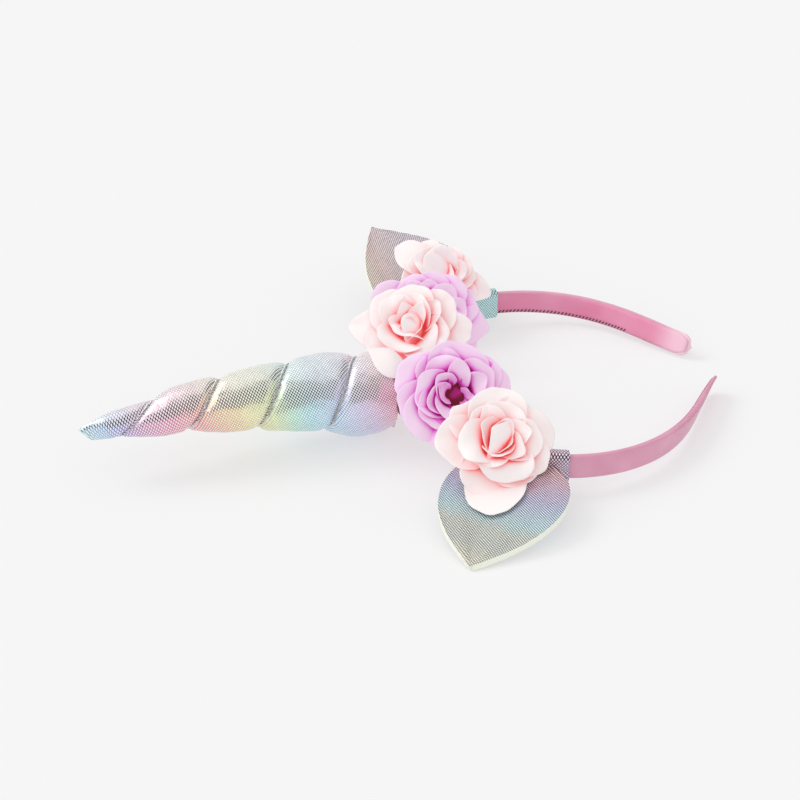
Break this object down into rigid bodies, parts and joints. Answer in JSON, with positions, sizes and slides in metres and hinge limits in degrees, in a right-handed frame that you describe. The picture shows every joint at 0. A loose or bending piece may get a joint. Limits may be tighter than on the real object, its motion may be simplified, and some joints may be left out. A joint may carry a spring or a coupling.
{
  "type": "unicorn horn headband",
  "caption": "Costume headband with a stuffed spiral horn, padded leaf-shaped ears and a row of cloth roses, lying with its open end on the floor.",
  "frame": {"origin": "on the floor, in the middle of the footprint of the headband as it lies", "axes": "+X from the horn's tip to the open end of the band, +Y to the wearer's left ear, +Z up; worn, the horn's -X points up and +Z points forward"},
  "size_m": [0.2482, 0.2294, 0.0475],
  "materials": {
    "band_satin": "pink satin ribbon wound over a sprung plastic core",
    "horn_foil": "holographic dotted foil cloth, pastel rainbow from tip to base",
    "silver_cord": "thin metallic cord",
    "ear_foil": "holographic dotted foil cloth with a pale cut edge",
    "petal_pale": "matte pale pink cloth petals",
    "petal_lilac": "matte lilac cloth petals, magenta in the depths"
  },
  "bodies": {
    "root": {"headband": "band_satin", "horn": "horn_foil", "horn_cord": "silver_cord", "ear_right": "ear_foil", "ear_left": "ear_foil", "rose_1": "petal_pale", "rose_2": "petal_lilac", "rose_3": "petal_pale", "rose_4": "petal_lilac", "rose_5": "petal_pale"}
  },
  "joints": []
}
